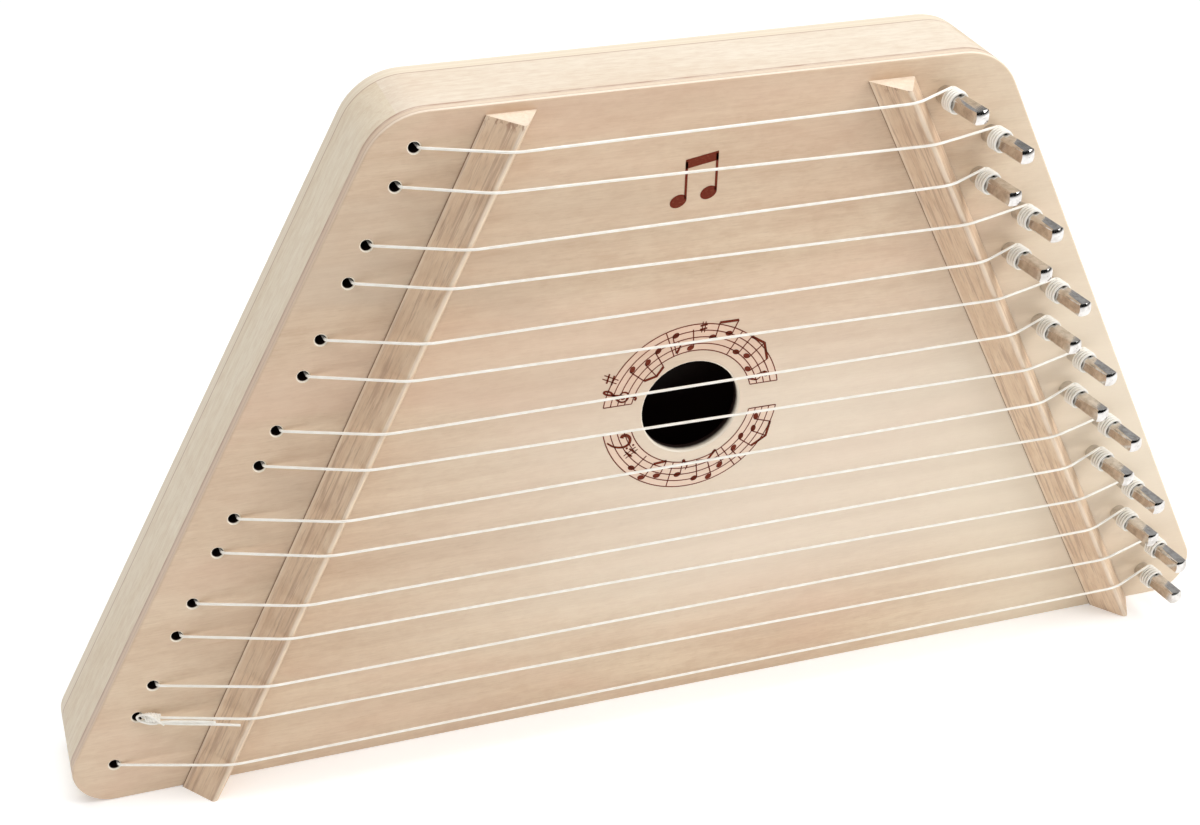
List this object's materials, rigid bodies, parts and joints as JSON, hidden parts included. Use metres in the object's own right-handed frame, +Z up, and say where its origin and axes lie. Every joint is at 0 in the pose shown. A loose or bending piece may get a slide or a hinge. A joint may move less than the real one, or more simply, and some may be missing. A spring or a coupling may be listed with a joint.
{
  "type": "lap harp",
  "caption": "Wooden trapezoid lap harp with a round sound hole, two slanted bridges, parallel white strings and a double row of leaning steel tuning pins.",
  "frame": {"origin": "centre of the bottom face, half way through the box's depth", "axes": "+X to the tuning-pin side, +Z up from the long edge to the short edge, -Y out of the playing face"},
  "size_m": [0.4234, 0.0568, 0.233],
  "materials": {
    "face_ply": "satin clear lacquer on pale birch ply, grain along the strings",
    "back_ply": "satin clear lacquer on pale birch ply",
    "frame_wood": "satin clear lacquer on pale solid maple",
    "brace_wood": "bare softwood",
    "bridge_wood": "satin clear lacquer on beech, grain along the bar",
    "pin_steel": "bright nickel-plated steel",
    "string": "white nylon"
  },
  "bodies": {
    "harp_body": {"soundboard": "face_ply", "back_panel": "back_ply", "top_rail": "frame_wood", "bottom_rail": "frame_wood", "hitch_block": "frame_wood", "pin_block": "frame_wood", "upper_brace": "brace_wood", "lower_brace": "brace_wood", "left_bridge": "bridge_wood", "right_bridge": "bridge_wood", "string_01": "string", "string_02": "string", "string_03": "string", "string_04": "string", "string_05": "string", "string_06": "string", "string_07": "string", "string_08": "string", "string_09": "string", "string_10": "string", "string_11": "string", "string_12": "string", "string_13": "string", "string_14": "string", "string_15": "string", "anchor_knots": "string", "splice_knot": "string", "string_tail": "string"},
    "pin_01": {"tuning_pin_01": "pin_steel", "winding_01": "string"},
    "pin_02": {"tuning_pin_02": "pin_steel", "winding_02": "string"},
    "pin_03": {"tuning_pin_03": "pin_steel", "winding_03": "string"},
    "pin_04": {"tuning_pin_04": "pin_steel", "winding_04": "string"},
    "pin_05": {"tuning_pin_05": "pin_steel", "winding_05": "string"},
    "pin_06": {"tuning_pin_06": "pin_steel", "winding_06": "string"},
    "pin_07": {"tuning_pin_07": "pin_steel", "winding_07": "string"},
    "pin_08": {"tuning_pin_08": "pin_steel", "winding_08": "string"},
    "pin_09": {"tuning_pin_09": "pin_steel", "winding_09": "string"},
    "pin_10": {"tuning_pin_10": "pin_steel", "winding_10": "string"},
    "pin_11": {"tuning_pin_11": "pin_steel", "winding_11": "string"},
    "pin_12": {"tuning_pin_12": "pin_steel", "winding_12": "string"},
    "pin_13": {"tuning_pin_13": "pin_steel", "winding_13": "string"},
    "pin_14": {"tuning_pin_14": "pin_steel", "winding_14": "string"},
    "pin_15": {"tuning_pin_15": "pin_steel", "winding_15": "string"}
  },
  "joints": [
    {"name": "pin_01_turn", "type": "hinge", "parent": "harp_body", "child": "pin_01", "pos_m": [0.08077, -0.018, 0.2196], "axis": [0.1392, -0.9903, 0], "range_deg": [-45, 330]},
    {"name": "pin_02_turn", "type": "hinge", "parent": "harp_body", "child": "pin_02", "pos_m": [0.09889, -0.018, 0.2043], "axis": [0.1392, -0.9903, 0], "range_deg": [-45, 330]},
    {"name": "pin_03_turn", "type": "hinge", "parent": "harp_body", "child": "pin_03", "pos_m": [0.09652, -0.018, 0.19], "axis": [0.1392, -0.9903, 0], "range_deg": [-45, 330]},
    {"name": "pin_04_turn", "type": "hinge", "parent": "harp_body", "child": "pin_04", "pos_m": [0.11413, -0.018, 0.1747], "axis": [0.1392, -0.9903, 0], "range_deg": [-45, 330]},
    {"name": "pin_05_turn", "type": "hinge", "parent": "harp_body", "child": "pin_05", "pos_m": [0.11227, -0.018, 0.1604], "axis": [0.1392, -0.9903, 0], "range_deg": [-45, 330]},
    {"name": "pin_06_turn", "type": "hinge", "parent": "harp_body", "child": "pin_06", "pos_m": [0.12937, -0.018, 0.1451], "axis": [0.1392, -0.9903, 0], "range_deg": [-45, 330]},
    {"name": "pin_07_turn", "type": "hinge", "parent": "harp_body", "child": "pin_07", "pos_m": [0.12801, -0.018, 0.1308], "axis": [0.1392, -0.9903, 0], "range_deg": [-45, 330]},
    {"name": "pin_08_turn", "type": "hinge", "parent": "harp_body", "child": "pin_08", "pos_m": [0.14462, -0.018, 0.1155], "axis": [0.1392, -0.9903, 0], "range_deg": [-45, 330]},
    {"name": "pin_09_turn", "type": "hinge", "parent": "harp_body", "child": "pin_09", "pos_m": [0.14376, -0.018, 0.1012], "axis": [0.1392, -0.9903, 0], "range_deg": [-45, 330]},
    {"name": "pin_10_turn", "type": "hinge", "parent": "harp_body", "child": "pin_10", "pos_m": [0.15986, -0.018, 0.0859], "axis": [0.1392, -0.9903, 0], "range_deg": [-45, 330]},
    {"name": "pin_11_turn", "type": "hinge", "parent": "harp_body", "child": "pin_11", "pos_m": [0.15951, -0.018, 0.0716], "axis": [0.1392, -0.9903, 0], "range_deg": [-45, 330]},
    {"name": "pin_12_turn", "type": "hinge", "parent": "harp_body", "child": "pin_12", "pos_m": [0.17511, -0.018, 0.0563], "axis": [0.1392, -0.9903, 0], "range_deg": [-45, 330]},
    {"name": "pin_13_turn", "type": "hinge", "parent": "harp_body", "child": "pin_13", "pos_m": [0.17526, -0.018, 0.042], "axis": [0.1392, -0.9903, 0], "range_deg": [-45, 330]},
    {"name": "pin_14_turn", "type": "hinge", "parent": "harp_body", "child": "pin_14", "pos_m": [0.19035, -0.018, 0.0267], "axis": [0.1392, -0.9903, 0], "range_deg": [-45, 330]},
    {"name": "pin_15_turn", "type": "hinge", "parent": "harp_body", "child": "pin_15", "pos_m": [0.191, -0.018, 0.0124], "axis": [0.1392, -0.9903, 0], "range_deg": [-45, 330]}
  ]
}
